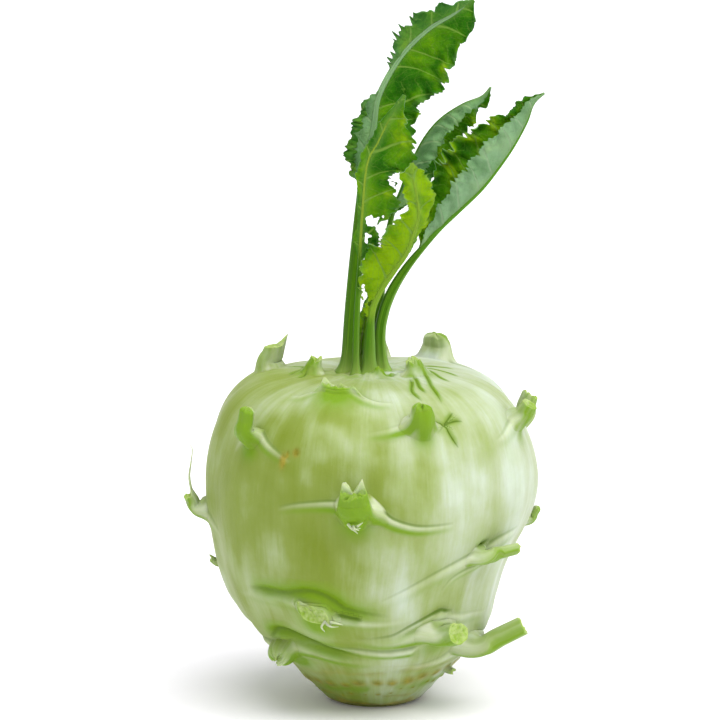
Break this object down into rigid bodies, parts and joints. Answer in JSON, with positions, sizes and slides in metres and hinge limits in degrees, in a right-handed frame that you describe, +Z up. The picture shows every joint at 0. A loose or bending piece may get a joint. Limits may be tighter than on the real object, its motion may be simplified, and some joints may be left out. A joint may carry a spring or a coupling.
{
  "type": "kohlrabi",
  "caption": "Pale green kohlrabi bulb with cut leaf stalks round it, young leaves rising from its crown, and a flat root cut that it stands on.",
  "frame": {"origin": "centre of the flat root cut that the kohlrabi stands on", "axes": "+Z up from the root cut to the leaves, -Y towards the front, +X to the right seen from the front"},
  "size_m": [0.0951, 0.1018, 0.1932],
  "materials": {
    "skin": "waxy, pale green vegetable skin",
    "stalk": "waxy, green leaf stalk with a pale cut end",
    "leaf": "fresh green leaf, satin"
  },
  "bodies": {
    "root": {"bulb": "skin", "leaf_back": "leaf", "leaf_centre": "leaf", "leaf_front": "leaf", "leaf_right": "leaf", "leaf_tall": "leaf", "leaf_young": "leaf", "stub_back_high": "stalk", "stub_back_left_high": "stalk", "stub_back_left_low": "stalk", "stub_back_low": "stalk", "stub_back_middle": "stalk", "stub_back_right_high": "stalk", "stub_back_right_low": "stalk", "stub_crown_left": "stalk", "stub_crown_right": "stalk", "stub_front_crown": "stalk", "stub_front_left_high": "stalk", "stub_front_low": "stalk", "stub_front_middle": "stalk", "stub_front_right_high": "stalk", "stub_left_base": "stalk", "stub_left_low": "stalk", "stub_left_middle": "stalk", "stub_right_base": "stalk", "stub_right_edge": "stalk", "stub_right_high": "stalk", "stub_right_long": "stalk", "stub_right_low": "stalk", "stub_right_middle": "stalk", "stub_shoulder_back_right": "stalk", "stub_shoulder_left": "stalk"}
  },
  "joints": []
}
